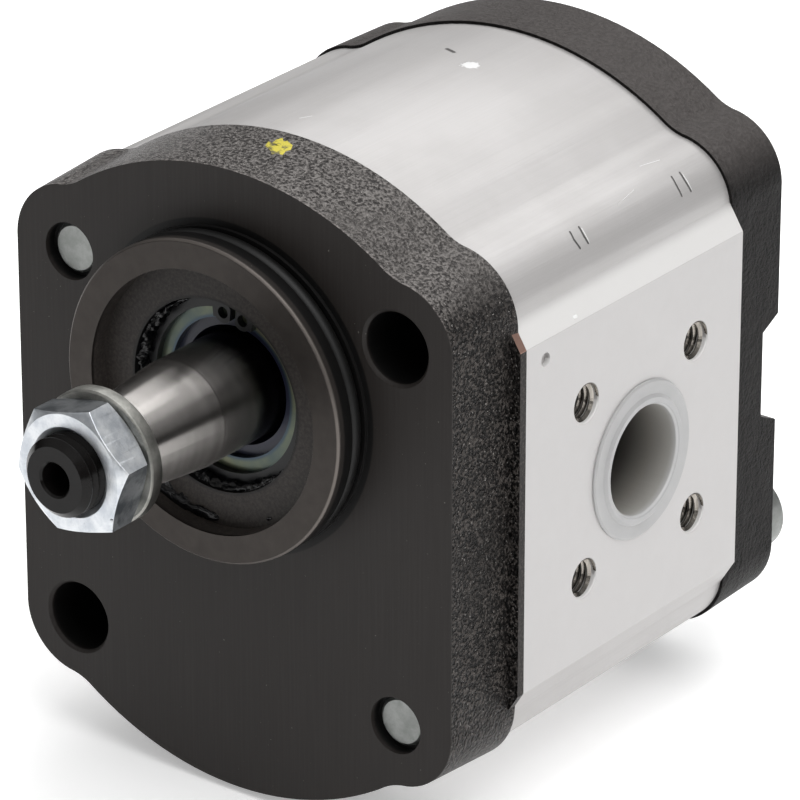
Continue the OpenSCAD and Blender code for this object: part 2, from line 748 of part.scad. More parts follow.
module front_body_seal() {
    body_seal(body_y0, body_y0 + body_seal_t - seat_gap);
}

module rear_body_seal() {
    body_seal(body_y1 - body_seal_t + seat_gap, body_y1);
}

module front_field_seal() {
    color("#202020") along_y(block_y0, block_y0 + field_seal_t - seat_gap)
        field_shape(field_seal_r, field_seal_w);
}

module rear_field_seal() {
    color("#202020") along_y(block_y3 - field_seal_t + seat_gap, block_y3)
        field_shape(field_seal_r, field_seal_w);
}

module front_backup_ring() {
    color("#e6e1d4") along_y(block_y0, block_y0 + field_seal_t - seat_gap) field_shape(backup_r, backup_w);
}

module rear_backup_ring() {
    color("#e6e1d4") along_y(block_y3 - field_seal_t + seat_gap, block_y3) field_shape(backup_r, backup_w);
}

// Socket head bolts from the rear cover into the front cover's threads
module assembly_bolts() {
    seat_y = rear_y + bolt_washer_t;
    head_r = bolt_head_d / 2;
    tip = 0.55;
    soft = 0.5;
    color("#a8a9aa") for (p = bolt_corners) translate([p[0], 0, p[1]]) difference() {
        turned_y([[0, bolt_tip_depth], [bolt_r - tip, bolt_tip_depth], [bolt_r, bolt_tip_depth + tip],
                  [bolt_r, seat_y], [head_r, seat_y], [head_r, seat_y + bolt_head_h - soft],
                  [head_r - soft, seat_y + bolt_head_h], [0, seat_y + bolt_head_h]]);
        along_y(seat_y + bolt_head_h / 2, seat_y + bolt_head_h + cut)
            circle(r = bolt_socket_af / sqrt(3), $fn = 6);
    }
}

module bolt_washers() {
    color("#9fa0a1") for (p = bolt_corners) translate([p[0], 0, p[1]]) difference() {
        bar_y(rear_y, rear_y + bolt_washer_t, bolt_washer_d / 2);
        bar_y(rear_y - cut, rear_y + bolt_washer_t + cut, bolt_r + bolt_clearance / 2);
    }
}

module dowels(y) {
    color("#8d8d8d") for (s = [-1, 1])
        bar_y(y - dowel_l / 2 + seat_gap, y + dowel_l / 2 - seat_gap, dowel_d / 2, s * dowel_span / 2, centre_z);
}

module front_dowels() {
    dowels(body_y0);
}

module rear_dowels() {
    dowels(body_y1);
}

// Hat-shaped plug of the suction port: a closed cup with a flange and a rolled rim
module port_plug(bore_d) {
    tube_r = bore_d / 2 - plug_gap;
    hollow_r = tube_r - plug_wall;
    flange_r = bore_d / 2 + plug_flange_w * bore_d / suction_bore_d;
    face_x = body_w / 2;
    floor_x = face_x - plug_depth;
    color("#e4e4e2") translate([0, port_y, centre_z]) turned_x([
        [0, floor_x], [tube_r - 0.4, floor_x], [tube_r, floor_x + 0.4], [tube_r, face_x],
        [flange_r, face_x], [flange_r, face_x + plug_flange_t - 0.2], [flange_r - 0.3, face_x + plug_flange_t],
        [tube_r + 0.5, face_x + plug_flange_t], [tube_r, face_x + plug_rim_h], [hollow_r + 0.4, face_x + plug_rim_h],
        [hollow_r, face_x + plug_rim_h - 0.4], [hollow_r, floor_x + plug_wall], [0, floor_x + plug_wall]]);
}

module suction_plug() {
    port_plug(suction_bore_d);
}

module pressure_plug() {
    mirror([1, 0, 0]) port_plug(pressure_bore_d);
}

front_cover();
pump_body();
rear_cover();
drive_gear_shaft();
driven_gear_shaft();
woodruff_key();
shaft_nut();
spring_washer();
front_bearing_block();
rear_bearing_block();
front_drive_bush();
front_driven_bush();
rear_drive_bush();
rear_driven_bush();
shaft_seal();
seal_garter_spring();
support_ring();
retaining_ring();
pilot_o_ring();
front_body_seal();
rear_body_seal();
front_field_seal();
rear_field_seal();
front_backup_ring();
rear_backup_ring();
assembly_bolts();
bolt_washers();
front_dowels();
rear_dowels();
suction_plug();
pressure_plug();
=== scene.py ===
import json
import math

import bpy
from mathutils import Matrix, Vector, noise
from mathutils.bvhtree import BVHTree


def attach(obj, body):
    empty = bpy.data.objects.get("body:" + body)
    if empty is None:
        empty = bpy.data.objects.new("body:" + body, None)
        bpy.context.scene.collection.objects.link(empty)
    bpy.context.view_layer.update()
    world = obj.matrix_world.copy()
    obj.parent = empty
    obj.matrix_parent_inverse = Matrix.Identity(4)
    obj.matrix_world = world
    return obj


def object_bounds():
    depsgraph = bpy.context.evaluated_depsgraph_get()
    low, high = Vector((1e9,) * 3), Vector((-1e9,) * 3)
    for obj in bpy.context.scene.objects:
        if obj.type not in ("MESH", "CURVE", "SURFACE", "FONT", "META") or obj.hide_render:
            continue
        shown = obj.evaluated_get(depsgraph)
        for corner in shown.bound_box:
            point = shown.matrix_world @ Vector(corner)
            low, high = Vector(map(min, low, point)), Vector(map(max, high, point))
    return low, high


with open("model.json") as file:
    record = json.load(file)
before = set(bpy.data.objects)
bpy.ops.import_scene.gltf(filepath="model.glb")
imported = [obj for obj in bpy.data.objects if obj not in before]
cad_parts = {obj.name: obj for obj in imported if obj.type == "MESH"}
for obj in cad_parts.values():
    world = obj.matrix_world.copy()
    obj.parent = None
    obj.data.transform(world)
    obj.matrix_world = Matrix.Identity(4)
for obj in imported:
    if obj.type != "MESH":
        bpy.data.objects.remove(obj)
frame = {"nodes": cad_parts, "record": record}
cad_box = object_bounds()
NODES = frame["nodes"]
MM = 0.001
scene = bpy.context.scene

# Places on the pump in mm, in the CAD frame: the drive shaft's axis runs along Y through 0, 0.
MIDDLE_Z = -16.0  # height of the housing's middle
SIDE_X = 40.0  # reach of the castings' plain sides
PORT_FACE_X = 42.385  # reach of the milled port faces and strips
FACE_EDGE = 39.2  # distance from the housing's middle at which the cast rim begins
STRIP_Y = 13.2  # start of the strip milled along the front cover's rear edge
HOLE_REACH = 30.0  # of the four corner holes from the housing's middle, along X and along Z
HOLE_EDGE = 6.4  # radius just outside the corner holes' chamfers
PILOT_R = 25.0
RECESS_R = 20.5
SEAL_BORE_R = 15.0
PILOT_FRONT_Y = -6.6
RECESS_FLOOR_Y = -3.5
TAPER_Y = -11.9  # large end of the shaft's taper
THREAD_Y = -28.0  # start of the shaft's black end
PORT_Y = 44.0
PORT_THREAD_REACH = {"suction": 40 / math.sqrt(8), "pressure": 35 / math.sqrt(8)}
PLUG_FACE_X = 43.3
PLUG_DEPTH = 12.0
CUP_R = 8.6

# ---------------------------------------------------------------- camera
# The photo's camera, solved from the corner holes, the pilot, the nut and the port.
# It looks down from the front right.
AZIMUTH, ELEVATION = math.radians(36.754), math.radians(24.154)
FOCAL_PX = 5867.084
SHIFT_RIGHT, SHIFT_UP, DEPTH = -24.691, 1.792, 853.727  # the origin seen from the eye, in mm
PHOTO_PX = 800
SENSOR_MM = 36
BACK = Vector((math.sin(AZIMUTH) * math.cos(ELEVATION),
               -math.cos(AZIMUTH) * math.cos(ELEVATION),
               math.sin(ELEVATION)))
FORWARD = -BACK
RIGHT = FORWARD.cross(Vector((0, 0, 1))).normalized()
UP = RIGHT.cross(FORWARD)
EYE = (-SHIFT_RIGHT * RIGHT - SHIFT_UP * UP - DEPTH * FORWARD) * MM


def make_camera():
    data = bpy.data.cameras.new("camera")
    data.sensor_width = SENSOR_MM
    data.lens = FOCAL_PX / PHOTO_PX * SENSOR_MM
    data.clip_start, data.clip_end = 0.05, 20
    cam = bpy.data.objects.new("camera", data)
    turn = Matrix((RIGHT, UP, BACK)).transposed().to_4x4()
    cam.matrix_world = Matrix.Translation(EYE) @ turn
    scene.collection.objects.link(cam)
    scene.camera = cam


make_camera()

# ---------------------------------------------------------------- materials


class Surface:
    """A procedural material. Lengths are in millimetres, in the object's own frame."""

    def __init__(self, name, **fixed):
        self.mat = bpy.data.materials.new(name)
        self.mat.use_nodes = True
        self.tree = self.mat.node_tree
        self.tree.nodes.clear()
        self.shader = self.add("ShaderNodeBsdfPrincipled")
        out = self.add("ShaderNodeOutputMaterial")
        self.tree.links.new(self.shader.outputs[0], out.inputs[0])
        coords = self.add("ShaderNodeTexCoord")
        scale = self.add("ShaderNodeVectorMath", operation="SCALE")
        self.put(scale.inputs[0], coords.outputs["Object"])
        scale.inputs["Scale"].default_value = 1 / MM
        self.at = scale.outputs[0]
        place = self.add("ShaderNodeSeparateXYZ")
        self.put(place.inputs[0], self.at)
        self.x, self.y, self.z = place.outputs
        facing = self.add("ShaderNodeSeparateXYZ")
        self.put(facing.inputs[0], coords.outputs["Normal"])
        self.nx, _, self.nz = facing.outputs
        for key, value in fixed.items():
            self.shader.inputs[key.replace("_", " ")].default_value = value

    def add(self, kind, **props):
        node = self.tree.nodes.new(kind)
        for key, value in props.items():
            setattr(node, key, value)
        return node

    def put(self, socket, value):
        """Links a socket to another one, or sets it to a number, a vector or a colour."""
        if isinstance(value, bpy.types.NodeSocket):
            self.tree.links.new(value, socket)
        elif isinstance(value, (tuple, list)) and len(value) == 3 and socket.type == "RGBA":
            socket.default_value = (*value, 1)
        else:
            socket.default_value = value

    def op(self, what, *args):
        node = self.add("ShaderNodeMath", operation=what)
        for socket, value in zip(node.inputs, args):
            self.put(socket, value)
        return node.outputs[0]

    def times(self, first, *others):
        for other in others:
            first = self.op("MULTIPLY", first, other)
        return first

    def invert(self, mask):
        return self.op("SUBTRACT", 1.0, mask)

    def abs_x(self):
        return self.op("ABSOLUTE", self.x)

    def length(self, a, b):
        squares = self.op("ADD", self.times(a, a), self.times(b, b))
        return self.op("SQRT", squares)

    def radius(self, x=0.0, z=0.0):
        """Distance from an axis that runs along Y."""
        return self.length(self.op("SUBTRACT", self.x, x), self.op("SUBTRACT", self.z, z))

    def band(self, value, low, high):
        """0 below low and 1 above high, or the other way round if low is above high."""
        node = self.add("ShaderNodeMapRange", interpolation_type="SMOOTHSTEP")
        limits = {"Value": value, "From Min": low, "From Max": high, "To Min": 0.0, "To Max": 1.0}
        for key, limit in limits.items():
            self.put(node.inputs[key], limit)
        return node.outputs[0]

    def noise(self, per_mm, detail=3.0, rough=0.55, stretch=(1, 1, 1), shift=0.0):
        spread = self.add("ShaderNodeVectorMath", operation="MULTIPLY_ADD")
        self.put(spread.inputs[0], self.at)
        spread.inputs[1].default_value = [s * per_mm for s in stretch]
        spread.inputs[2].default_value = (shift, shift * 0.7, -shift)
        node = self.add("ShaderNodeTexNoise")
        self.put(node.inputs["Vector"], spread.outputs[0])
        node.inputs["Scale"].default_value = 1
        node.inputs["Detail"].default_value = detail
        node.inputs["Roughness"].default_value = rough
        return node.outputs[0]

    def spots(self, per_mm, detail, rough, shift, low, high):
        """Mask of the places where a noise is above a level."""
        return self.band(self.noise(per_mm, detail, rough, shift=shift), low, high)

    def ramp(self, fac, *stops):
        node = self.add("ShaderNodeValToRGB")
        self.put(node.inputs[0], fac)
        marks = node.color_ramp.elements
        while len(marks) < len(stops):
            marks.new(0.5)
        for mark, (at, colour) in zip(marks, stops):
            mark.position = at
            mark.color = (*colour, 1)
        return node.outputs[0]

    def mix(self, fac, a, b):
        """Colour a where fac is 0, and b where it is 1."""
        node = self.add("ShaderNodeMix", data_type="RGBA")
        self.put(node.inputs[0], fac)
        self.put(node.inputs[6], a)
        self.put(node.inputs[7], b)
        return node.outputs[2]

    def blend(self, fac, a, b):
        """Number a where fac is 0, and b where it is 1."""
        node = self.add("ShaderNodeMix", data_type="FLOAT")
        self.put(node.inputs[0], fac)
        self.put(node.inputs[2], a)
        self.put(node.inputs[3], b)
        return node.outputs[0]

    def bump(self, height, depth, strength=1.0, under=None):
        node = self.add("ShaderNodeBump")
        self.put(node.inputs["Height"], height)
        node.inputs["Distance"].default_value = depth * MM
        self.put(node.inputs["Strength"], strength)
        if under is not None:
            self.put(node.inputs["Normal"], under)
        return node.outputs[0]

    def stroke(self, start, end, width):
        """1 along a straight mark from start to end, fading to 0 at its sides."""
        line = Vector(end) - Vector(start)
        away = self.add("ShaderNodeVectorMath", operation="SUBTRACT")
        self.put(away.inputs[0], self.at)
        away.inputs[1].default_value = start
        along = self.add("ShaderNodeVectorMath", operation="DOT_PRODUCT")
        self.put(along.inputs[0], away.outputs[0])
        along.inputs[1].default_value = line / line.length_squared
        part = self.op("MINIMUM", self.op("MAXIMUM", along.outputs["Value"], 0.0), 1.0)
        foot = self.add("ShaderNodeVectorMath", operation="SCALE")
        foot.inputs[0].default_value = line
        self.put(foot.inputs["Scale"], part)
        gap = self.add("ShaderNodeVectorMath", operation="DISTANCE")
        self.put(gap.inputs[0], away.outputs[0])
        self.put(gap.inputs[1], foot.outputs[0])
        return self.band(gap.outputs["Value"], width, width * 0.45)

    def finish(self, colour, rough, metal, normal=None):
        inputs = {"Base Color": colour, "Roughness": rough, "Metallic": metal, "Normal": normal}
        for key, value in inputs.items():
            if value is not None:
                self.put(self.shader.inputs[key], value)
        return self.mat


def machined_colour(s, from_shaft, from_hole, in_front, cloud, strokes):
    """The front cover's turned and milled places: mounting face, pilot, recess and bores."""
    face = s.mix(cloud, (0.0140, 0.0116, 0.0104), (0.0200, 0.0170, 0.0155))
    face = s.mix(s.band(strokes, 0.35, 0.75), face, (0.0220, 0.0190, 0.0175))
    dust = s.times(s.spots(1.9, 2, 0.5, 11, 0.74, 0.80), 0.35)
    face = s.mix(dust, face, (0.30, 0.28, 0.26))
    pilot = s.mix(s.noise(0.5, 4, 0.6, shift=3), (0.030, 0.0265, 0.0245), (0.052, 0.046, 0.042))
    face = s.mix(in_front, face, pilot)
    # The pilot's front edge is painted lighter: partly bare steel on the chamfer, partly a painted
    # highlight.
    edge = s.times(in_front, s.band(from_shaft, PILOT_R - 0.4, PILOT_R - 0.22))
    face = s.mix(edge, face, (0.14, 0.125, 0.115))
    recess = s.times(s.band(from_shaft, RECESS_R + 0.25, RECESS_R + 0.1),
                     s.band(s.y, PILOT_FRONT_Y, PILOT_FRONT_Y + 0.3))
    speckled = s.mix(s.spots(1.9, 4, 0.75, 0, 0.35, 0.72),
                     (0.0190, 0.0160, 0.0145), (0.042, 0.036, 0.032))
    face = s.mix(recess, face, speckled)
    # Painted shade: the pilot's side wall and the groove behind it are painted near black.
    pilot_side_shade = s.times(s.band(from_shaft, PILOT_R + 1.2, PILOT_R + 0.9), s.band(s.y, -5.6, -5.2),
                   s.band(from_shaft, RECESS_R + 1.0, RECESS_R + 1.5))
    face = s.mix(pilot_side_shade, face, (0.0030, 0.0028, 0.0028))
    # Painted shade: the walls of the corner holes are painted near black.
    hole_wall_shade = s.times(s.band(from_hole, HOLE_EDGE, HOLE_EDGE - 0.3), s.band(s.y, 0.3, 1.2))
    face = s.mix(hole_wall_shade, face, (0.0012, 0.0011, 0.0011))
    # Painted shade: the seal bore's wall behind the recess floor is painted near black.
    bore = s.times(s.band(from_shaft, SEAL_BORE_R + 0.6, SEAL_BORE_R + 0.2),
                   s.band(s.y, RECESS_FLOOR_Y - 0.25, RECESS_FLOOR_Y))
    return s.mix(bore, face, (0.004, 0.004, 0.0045))


def cast_colour(s, lump):
    """The front cover's rough rim: painted lighter where it faces up as painted light from above,
    with crests painted lighter, pits darker and painted glints.
    """
    # Painted light: surfaces facing up are painted lighter than the sides.
    painted_top_light = s.band(s.nz, 0.35, 1.0)
    rugged = s.blend(s.spots(0.06, 2, 0.5, 17, 0.38, 0.55), 0.6, 1.0)
    skin = s.mix(painted_top_light, (0.0095, 0.0080, 0.0074), (0.108, 0.100, 0.095))
    # Crests of the grain are painted lighter and pits darker: partly the grain's own tone, partly
    # painted highlight and painted shade.
    crest = s.times(s.band(lump, 0.73, 0.82), rugged)
    skin = s.mix(crest, skin, s.mix(painted_top_light, (0.066, 0.058, 0.053), (0.205, 0.192, 0.184)))
    pit_shade = s.times(s.band(lump, 0.70, 0.62), rugged)
    skin = s.mix(pit_shade, skin, s.mix(painted_top_light, (0.0015, 0.0013, 0.0012), (0.030, 0.027, 0.026)))
    # Painted glints: pale specks scattered over the rim.
    painted_glint = s.times(s.spots(3.0, 2, 0.5, 4, 0.66, 0.72), 0.6)
    return s.mix(painted_glint, skin, (0.42, 0.40, 0.38))


def front_casting():
    """Machined iron face under a thin black coat, bare pilot, rough cast rim."""
    s = Surface("front_casting", Specular_IOR_Level=0.22)
    from_middle = s.radius(0, MIDDLE_Z)
    from_shaft = s.radius()
    hole_side = s.op("SUBTRACT", s.abs_x(), HOLE_REACH)
    hole_up = s.op("ABSOLUTE", s.op("SUBTRACT", s.z, MIDDLE_Z))
    from_hole = s.length(hole_side, s.op("SUBTRACT", hole_up, HOLE_REACH))
    on_rim = s.band(from_middle, FACE_EDGE, FACE_EDGE + 0.4)
    milled = s.band(s.abs_x(), PORT_FACE_X - 0.055, PORT_FACE_X - 0.005)
    cast = s.times(on_rim, s.band(s.y, 0.0, 0.3),
                   s.band(from_hole, HOLE_EDGE + 0.1, HOLE_EDGE + 0.5), s.invert(milled))
    in_front = s.band(s.y, PILOT_FRONT_Y + 0.4, PILOT_FRONT_Y)

    cloud = s.noise(0.045, 4, 0.6)
    strokes = s.noise(1.0, 3, 0.6, (2.6, 1, 0.05))
    specks = s.noise(2.4, 2, 0.5)
    grain = s.noise(2.1, 2, 0.55)
    lump = s.op("ADD", grain, s.times(s.noise(1.0, 3, 0.6, shift=8), 0.45))
    colour = s.mix(cast, machined_colour(s, from_shaft, from_hole, in_front, cloud, strokes),
                   cast_colour(s, lump))

    strip = s.times(milled, s.band(s.y, 12, 13))
    strip_colour = s.mix(s.band(grain, 0.45, 0.65), (0.010, 0.008, 0.007), (0.040, 0.033, 0.030))
    colour = s.mix(strip, colour, strip_colour)
    corner = s.times(s.band(s.y, STRIP_Y - 0.05, STRIP_Y),
                     s.band(s.z, 11.0, 11.6), s.band(s.z, 16.3, 16.0),
                     s.band(s.abs_x(), SIDE_X + 0.05, SIDE_X + 0.12), s.band(s.nz, 0.15, 0.35))
    bare = s.mix(s.noise(1.2, 4, 0.7), (0.24, 0.145, 0.115), (0.36, 0.23, 0.19))
    colour = s.mix(corner, colour, bare)
    # Painted highlight: broken pale streaks on the upward-facing front edge of the rim.
    rim_edge_highlight = s.times(s.band(s.y, 0.01, 0.06), s.band(s.y, 0.42, 0.3), s.band(s.nz, 0.1, 0.6),
                  on_rim, s.spots(1.5, 3, 0.7, 13, 0.42, 0.68),
                  s.band(from_hole, HOLE_EDGE, HOLE_EDGE + 0.4))
    colour = s.mix(rim_edge_highlight, colour, (0.24, 0.22, 0.21))

    machined_rough = s.blend(in_front, s.blend(cloud, 0.46, 0.58), 0.40)
    rough = s.blend(cast, machined_rough, s.blend(grain, 0.28, 0.50))
    metal = s.blend(cast, s.blend(in_front, 0.0, 0.85), 0.55)
    tool_marks = s.op("ADD", strokes, s.times(specks, 0.6))
    lines = s.bump(tool_marks, 0.010, s.invert(cast))
    return s.finish(colour, rough, metal, s.bump(lump, 0.6, s.times(cast, s.invert(corner)), lines))


def rear_casting():
    """Cast iron with a finer skin and a dark coat, painted lighter where it faces up as painted
    light from above.
    """
    s = Surface("rear_casting", Specular_IOR_Level=0.12)
    grain = s.noise(1.6, 4, 0.62)
    swell = s.noise(0.22, 3, 0.5)
    # Painted light: surfaces facing up are painted lighter than the sides.
    painted_top_light = s.band(s.nz, 0.15, 0.9)
    low = s.mix(painted_top_light, (0.0022, 0.0018, 0.0017), (0.058, 0.052, 0.050))
    high = s.mix(painted_top_light, (0.011, 0.0092, 0.0085), (0.090, 0.082, 0.079))
    colour = s.mix(s.band(grain, 0.35, 0.72), low, high)
    lumps = s.bump(s.op("ADD", s.times(swell, 1.2), grain), 0.42)
    return s.finish(colour, s.blend(grain, 0.40, 0.60), 0.15, lumps)


# Handling marks on the body, in mm: start, end and half width of each.
DARK_NICKS = [
    ((-4.0, 58.4, 34.0), (-2.1, 57.6, 34.15), 0.42),
    ((36.2, 33.95, 22.2), (37.2, 33.6, 21.3), 0.24),
    ((37.2, 33.6, 21.3), (38.1, 33.8, 20.2), 0.27),
    ((36.2, 36.2, 22.2), (37.3, 35.9, 21.2), 0.25),
    ((37.3, 35.9, 21.2), (38.05, 35.9, 20.3), 0.28),
    ((36.1, 60.2, 22.3), (37.3, 59.85, 21.2), 0.24),
    ((37.3, 59.85, 21.2), (38.3, 59.7, 19.95), 0.24),
    ((36.15, 62.3, 22.3), (37.35, 62.1, 21.2), 0.26),
    ((37.35, 62.1, 21.2), (38.3, 62.1, 19.95), 0.26),
]
LIGHT_NICKS = [
    ((36.5, 36.5, 22.0), (38.3, 36.15, 20.2), 0.16),
    ((36.5, 62.6, 22.1), (38.5, 62.35, 19.9), 0.16),
    ((32.4, 57.2, 24.1), (33.1, 61.4, 23.9), 0.10),
    ((36.0, 46.3, 22.35), (35.3, 51.5, 22.9), 0.07),
    ((-4.3, 22.5, 34.0), (-3.3, 24.1, 34.1), 0.12),
    ((41.9, 27.1, 12.6), (41.9, 27.6, 12.6), 0.35),
]
DING_AT, DING_R = (3.0, 54.9, 34.1), 1.5


def handling_marks(s):
    """Masks of the dark nicks and of the bright ones."""
    masks = []
    for marks in (DARK_NICKS, LIGHT_NICKS):
        mask = 0.0
        for mark in marks:
            mask = s.op("MAXIMUM", mask, s.stroke(*mark))
        masks.append(mask)
    away = s.add("ShaderNodeVectorMath", operation="DISTANCE")
    s.put(away.inputs[0], s.at)
    away.inputs[1].default_value = DING_AT
    ragged = s.times(s.noise(1.3, 3, 0.6, shift=31), 2.2)
    ding = s.band(s.op("ADD", away.outputs["Value"], ragged), DING_R + 1.1, DING_R + 0.7)
    return masks[0], s.op("MAXIMUM", masks[1], ding)


def aluminium_body():
    """Extruded aluminium: faint lines along its length, stains, milled port faces."""
    s = Surface("extruded_aluminium")
    port = s.band(s.abs_x(), PORT_FACE_X - 0.045, PORT_FACE_X)
    lines = s.noise(1.0, 4, 0.65, (5, 0.035, 5))
    drawn = s.noise(1.0, 3, 0.5, (0.9, 0.012, 0.9), 5)
    stain = s.noise(0.055, 5, 0.62, shift=2)
    smear = s.noise(0.12, 4, 0.6, (1, 0.35, 1), 9)
    fine = s.noise(3.2, 2, 0.5)

    skin = s.mix(s.band(stain, 0.38, 0.66), (0.485, 0.472, 0.468), (0.463, 0.450, 0.445))
    skin = s.mix(s.times(s.band(smear, 0.45, 0.8), 0.5), skin, (0.50, 0.488, 0.486))
    skin = s.mix(s.times(s.band(lines, 0.3, 0.75), 0.3), skin, (0.40, 0.39, 0.38))
    skin = s.mix(s.times(s.spots(0.5, 4, 0.7, 21, 0.68, 0.76), 0.18), skin, (0.40, 0.37, 0.33))
    milled = s.mix(s.noise(0.25, 4, 0.6), (0.56, 0.548, 0.545), (0.53, 0.518, 0.514))
    milled = s.mix(s.times(s.spots(0.9, 5, 0.7, 4, 0.62, 0.78), 0.3), milled, (0.5, 0.49, 0.47))
    # Painted light: the upward-facing ledge along each side is painted lighter and made less
    # metallic.
    lit_ledge = s.times(s.band(s.abs_x(), SIDE_X - 0.9, SIDE_X + 0.9), s.band(s.nz, 0.1, 0.3))
    colour = s.mix(port, s.mix(lit_ledge, skin, (0.66, 0.65, 0.64)), milled)
    dark, bright = handling_marks(s)
    colour = s.mix(s.times(bright, 0.75), colour, (0.88, 0.88, 0.88))
    colour = s.mix(s.times(dark, 0.85), colour, (0.03, 0.027, 0.025))

    skin_rough = s.blend(s.band(stain, 0.3, 0.7), 0.52, 0.56)
    rough = s.blend(port, skin_rough, s.blend(fine, 0.54, 0.62))
    metal = s.blend(port, s.blend(lit_ledge, 0.55, 0.1), 0.45)
    along = s.op("ADD", lines, s.times(drawn, 1.5))
    normal = s.bump(along, 0.022, s.invert(port))
    normal = s.bump(s.op("SUBTRACT", bright, dark), 0.12, 0.8, normal)
    return s.finish(colour, rough, metal, s.bump(fine, 0.006, 1.0, normal))


def ground_steel():
    """Ground shaft: fine rings around it, painted shade towards the cover, black thread end."""
    s = Surface("ground_steel", Anisotropic=0.88, Specular_IOR_Level=0.18)
    along = s.add("ShaderNodeCombineXYZ")
    along.inputs[1].default_value = 1
    s.put(s.shader.inputs["Tangent"], along.outputs[0])
    rings = s.noise(1.0, 4, 0.7, (0.05, 6.5, 0.05))
    broad = s.noise(1.0, 3, 0.5, (0.02, 0.7, 0.02), 4)
    cloud = s.noise(0.22, 4, 0.6)
    black = s.band(s.y, THREAD_Y, THREAD_Y - 0.6)
    steel = s.mix(rings, (0.36, 0.34, 0.325), (0.52, 0.505, 0.49))
    steel = s.mix(s.times(cloud, 0.5), steel, (0.36, 0.34, 0.32))
    # Painted shade and painted reflection: the shaft is painted near black towards the dark front
    # cover.
    root = s.band(s.op("ADD", s.y, s.times(s.noise(0.5, 3), 2.0)), -4.6, -1.2)
    steel = s.mix(root, steel, (0.022, 0.020, 0.020))
    step = s.times(s.band(s.y, TAPER_Y - 0.3, TAPER_Y - 0.05),
                   s.band(s.y, TAPER_Y + 0.25, TAPER_Y))
    steel = s.mix(s.times(step, 0.5), steel, (0.12, 0.11, 0.10))
    oxide = s.mix(s.noise(0.8, 4, 0.6), (0.0030, 0.0027, 0.0026), (0.0075, 0.0065, 0.0062))
    rough = s.blend(black, s.blend(broad, 0.22, 0.29), s.blend(cloud, 0.16, 0.26))
    metal = s.blend(black, 1.0, 0.0)
    return s.finish(s.mix(black, steel, oxide), rough, metal, s.bump(rings, 0.004, 0.7))


def nut_painted_reflection(s, colour):
    """Painted dark reflection and shade on the nut's top flat and on its lower right flat."""
    # Painted reflection: flats facing up and to the lower right are painted darker.
    top = s.band(s.nz, 0.80, 0.93)
    lower_right = s.times(s.band(s.nz, -0.05, -0.2), s.band(s.nx, 0.7, 0.85))
    painted_shade = s.mix(s.spots(0.35, 5, 0.62, 0, 0.35, 0.62), (0.10, 0.11, 0.12), (0.24, 0.25, 0.26))
    return s.mix(s.op("MAXIMUM", top, lower_right), colour, painted_shade)


def washer_painted_shade(s, colour):
    """Painted shade on the right of the spring washer."""
    right = s.times(s.band(s.nx, 0.55, 0.85), s.band(s.nz, 0.45, -0.05), 0.9)
    return s.mix(right, colour, (0.040, 0.038, 0.035))


def plated(name, low, high, rough, grain=0.5, painted_shade=None):
    """Zinc plate or bare spring steel, with slight wear and tool marks."""
    s = Surface(name)
    cloud = s.noise(0.35, 5, 0.62)
    fine = s.noise(2.5, 3, 0.6)
    dings = s.noise(0.9, 2, 0.5, shift=6)
    colour = s.mix(s.band(cloud, 0.3, 0.7), low, high)
    colour = s.mix(s.times(s.band(fine, 0.58, 0.8), 0.4), colour, [c * 0.62 for c in low])
    # Painted shade and reflection, where given, darken flats by how they face.
    if painted_shade:
        colour = painted_shade(s, colour)
    marks = s.bump(s.op("ADD", s.times(fine, grain), dings), 0.05, 0.7)
    return s.finish(colour, s.blend(cloud, *rough), 0.95, marks)


def yellow_ring():
    """Yellow passivated zinc, with the play of colours that such plating shows."""
    s = Surface("yellow_zinc")
    turn = s.op("ARCTAN2", s.z, s.x)
    wave = s.op("ADD", s.times(s.op("SINE", s.times(turn, 2.0)), 0.5),
                s.times(s.noise(0.35, 2, 0.5), 1.2))
    colour = s.ramp(s.band(wave, -0.6, 2.2),
                    (0.0, (0.040, 0.062, 0.068)), (0.4, (0.105, 0.120, 0.078)),
                    (0.75, (0.165, 0.160, 0.100)), (1.0, (0.070, 0.075, 0.085)))
    ring = s.times(s.band(s.radius(), 13.4, 12.6), s.band(s.radius(), 11.0, 11.6))
    colour = s.mix(ring, (0.035, 0.055, 0.075), colour)
    return s.finish(colour, s.blend(s.noise(0.8, 3), 0.26, 0.36), 0.6,
                    s.bump(s.noise(1.2, 3), 0.02, 0.6))


def rubber(name, low, high, rough, coat=0.0):
    s = Surface(name, Coat_Weight=coat, Coat_Roughness=0.12, Specular_IOR_Level=0.3)
    cloud = s.noise(0.4, 4, 0.6)
    return s.finish(s.mix(cloud, low, high), s.blend(cloud, rough - 0.06, rough + 0.08), 0.0,
                    s.bump(s.noise(2.2, 3), 0.015, 0.5))


def plug_plastic():
    """Milky, slightly translucent polyethylene, darker down in the cup, where light is lost."""
    s = Surface("plug_plastic", Subsurface_Weight=0.25, Subsurface_Radius=(0.002, 0.002, 0.0022),
                Subsurface_Scale=1.0, IOR=1.51)
    cloud = s.noise(0.25, 3, 0.5)
    flow = s.noise(0.6, 3, 0.5, (1, 0.3, 1))
    milk = s.mix(cloud, (0.345, 0.343, 0.346), (0.425, 0.422, 0.422))
    depth = s.op("SUBTRACT", PLUG_FACE_X, s.abs_x())
    cup = s.ramp(s.times(depth, 1 / PLUG_DEPTH),
                 (0.02, (0.50, 0.50, 0.50)), (0.12, (0.36, 0.35, 0.33)),
                 (0.40, (0.24, 0.23, 0.21)), (0.75, (0.08, 0.075, 0.068)),
                 (1.0, (0.010, 0.010, 0.010)))
    from_port = s.length(s.op("SUBTRACT", s.y, PORT_Y), s.op("SUBTRACT", s.z, MIDDLE_Z))
    hollow = s.band(from_port, CUP_R + 0.4, CUP_R + 0.15)
    return s.finish(s.mix(hollow, milk, cup), s.blend(flow, 0.26, 0.36), 0.0,
                    s.bump(flow, 0.03, 0.6))


